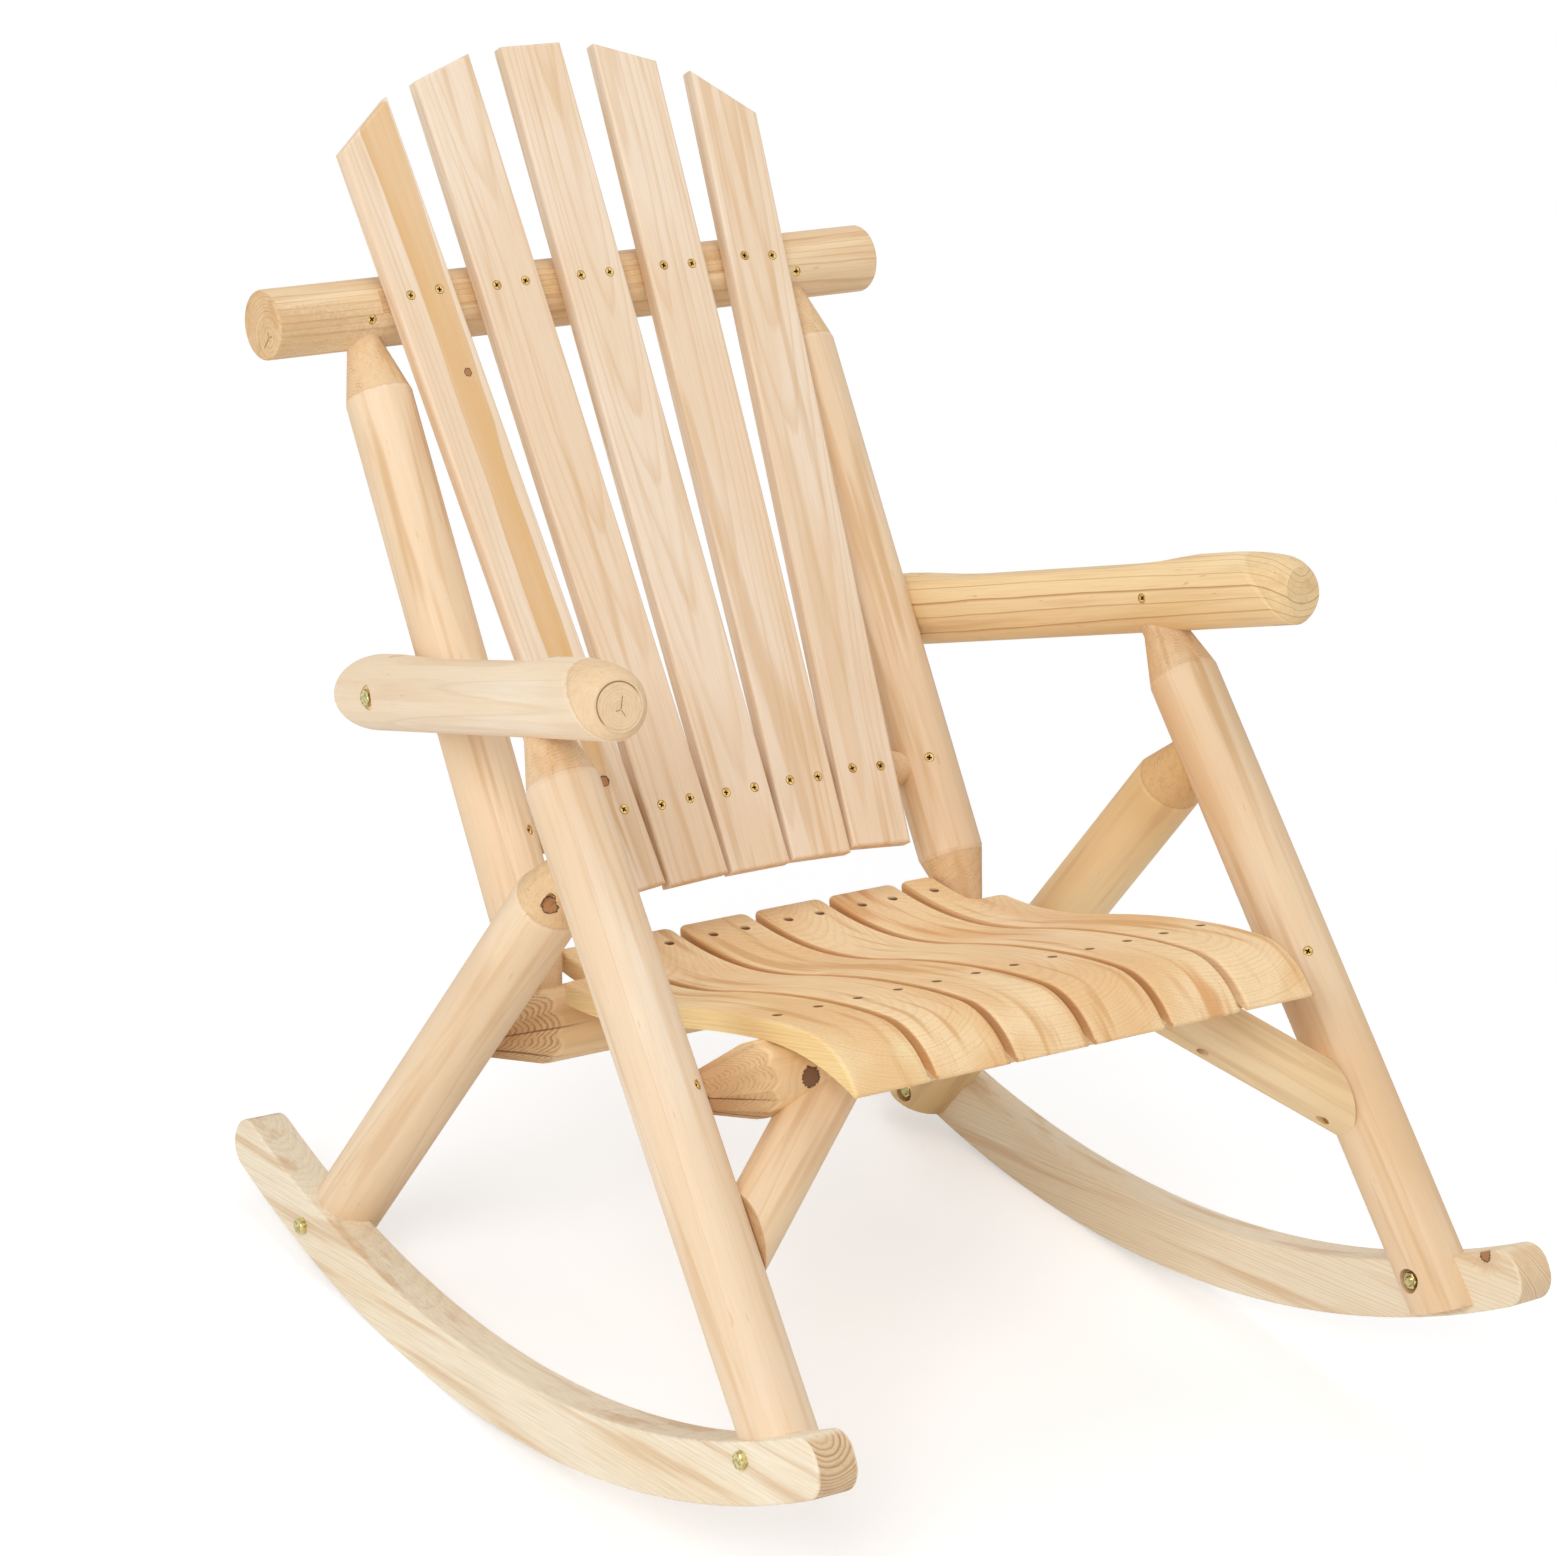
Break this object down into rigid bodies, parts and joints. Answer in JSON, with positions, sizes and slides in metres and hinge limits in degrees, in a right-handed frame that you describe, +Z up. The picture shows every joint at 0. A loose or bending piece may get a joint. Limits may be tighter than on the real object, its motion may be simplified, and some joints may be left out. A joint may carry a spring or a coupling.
{
  "type": "rocking adirondack chair",
  "caption": "Log-style rocking adirondack chair with curved plank rockers, a fan of back slats, a contoured slatted seat and round log armrests",
  "frame": {"origin": "on the floor, bottom centre of the bounding box; the rockers touch the floor 25 mm behind it", "axes": "+X towards the sitter's left, +Y towards the back of the chair, +Z up; the chair faces -Y, its left and right halves mirror each other about X = 0, and it stands rocked back to where it balances when it is empty"},
  "size_m": [0.7484, 1.0954, 0.9503],
  "materials": {
    "log_wood": "unfinished peeled fir log, satin",
    "back_slat_wood": "planed unfinished board, satin",
    "seat_slat_wood": "sawn and sanded unfinished board, satin",
    "rocker_wood": "sawn and sanded unfinished plank, satin",
    "zinc_screws": "yellow zinc plated",
    "zinc_bolts": "yellow zinc plated"
  },
  "bodies": {
    "root": {"armrest_bolts": "zinc_bolts", "armrest_left": "log_wood", "armrest_nuts": "zinc_bolts", "armrest_right": "log_wood", "armrest_screws": "zinc_screws", "armrest_washers": "zinc_bolts", "back_post_left": "log_wood", "back_post_right": "log_wood", "back_screws_lower": "zinc_screws", "back_screws_upper": "zinc_screws", "back_slat_1": "back_slat_wood", "back_slat_2": "back_slat_wood", "back_slat_3": "back_slat_wood", "back_slat_4": "back_slat_wood", "back_slat_5": "back_slat_wood", "brace_screws": "zinc_screws", "crossbar_screws": "zinc_screws", "front_brace_left": "log_wood", "front_brace_right": "log_wood", "front_leg_left": "log_wood", "front_leg_right": "log_wood", "front_seat_rail": "log_wood", "leg_screws": "zinc_screws", "lower_back_rail": "log_wood", "post_screws": "zinc_screws", "rear_leg_left": "log_wood", "rear_leg_right": "log_wood", "rear_leg_screws": "zinc_screws", "rear_seat_rail": "log_wood", "rocker_bolts": "zinc_bolts", "rocker_left": "rocker_wood", "rocker_nuts": "zinc_bolts", "rocker_right": "rocker_wood", "rocker_washers": "zinc_bolts", "seat_screws_front": "zinc_screws", "seat_screws_rear": "zinc_screws", "seat_slat_1": "seat_slat_wood", "seat_slat_2": "seat_slat_wood", "seat_slat_3": "seat_slat_wood", "seat_slat_4": "seat_slat_wood", "seat_slat_5": "seat_slat_wood", "seat_slat_6": "seat_slat_wood", "top_crossbar": "log_wood"}
  },
  "joints": []
}
